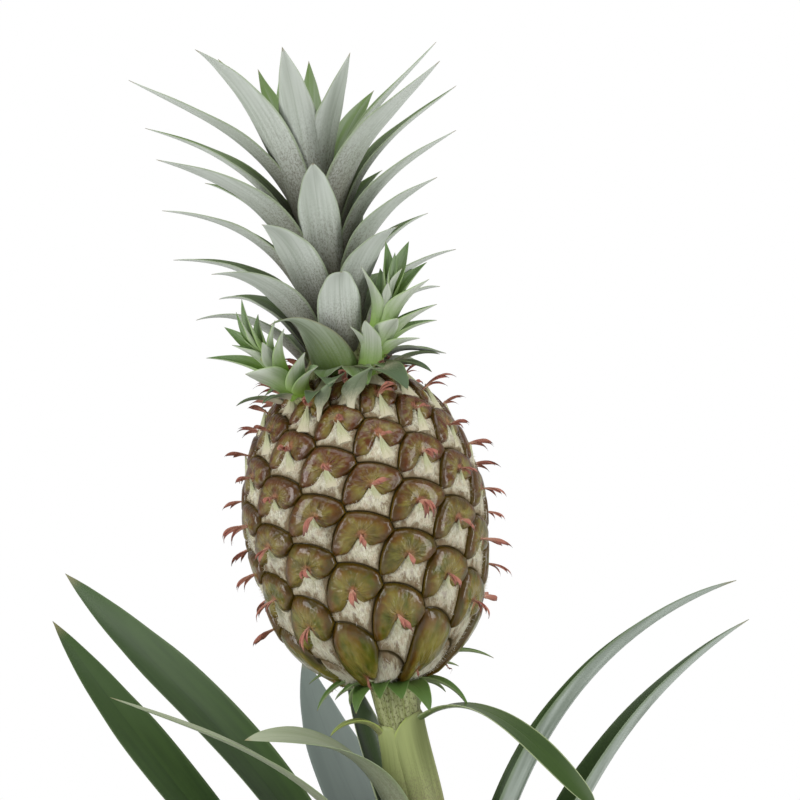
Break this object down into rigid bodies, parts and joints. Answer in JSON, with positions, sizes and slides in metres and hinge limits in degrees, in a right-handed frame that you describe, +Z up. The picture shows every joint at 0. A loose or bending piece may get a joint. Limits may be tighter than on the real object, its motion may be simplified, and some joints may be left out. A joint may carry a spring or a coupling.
{
  "type": "potted pineapple plant",
  "caption": "Pineapple plant in a round clay pot: a rosette of long arching leaves round a stalk that carries a small fruit under a leafy crown.",
  "frame": {"origin": "middle of the pot's flat underside", "axes": "+Z up along the pot's axis, -Y towards the viewer of the front, +X to that viewer's right"},
  "size_m": [0.3645, 0.3688, 0.5064],
  "materials": {
    "clay_pot": "matt unglazed clay",
    "potting_soil": "rough, crumbly",
    "stalk_green": "satin, speckled",
    "long_leaves": "satin, waxy",
    "stalk_leaves": "satin, waxy",
    "fruit_skin": "satin to glossy, bumpy",
    "crown_leaves": "matt, scaly bloom"
  },
  "bodies": {
    "root": {"pot": "clay_pot", "soil": "potting_soil", "stem": "stalk_green", "leaf_1": "long_leaves", "leaf_2": "long_leaves", "leaf_3": "long_leaves", "leaf_4": "long_leaves", "leaf_5": "long_leaves", "leaf_6": "long_leaves", "leaf_7": "long_leaves", "leaf_8": "long_leaves", "leaf_9": "long_leaves", "leaf_10": "long_leaves", "leaf_11": "long_leaves", "leaf_12": "long_leaves", "leaf_13": "long_leaves", "leaf_14": "long_leaves", "leaf_15": "long_leaves", "leaf_16": "long_leaves", "leaf_17": "long_leaves", "leaf_18": "long_leaves", "leaf_19": "long_leaves", "leaf_20": "long_leaves", "stalk_leaf_1": "stalk_leaves", "stalk_leaf_2": "stalk_leaves", "stalk_leaf_3": "stalk_leaves", "stalk_leaf_4": "stalk_leaves", "stalk_leaf_5": "stalk_leaves", "stalk_leaf_6": "stalk_leaves", "stalk_leaf_7": "stalk_leaves", "fruit": "fruit_skin", "crown": "crown_leaves"}
  },
  "joints": []
}
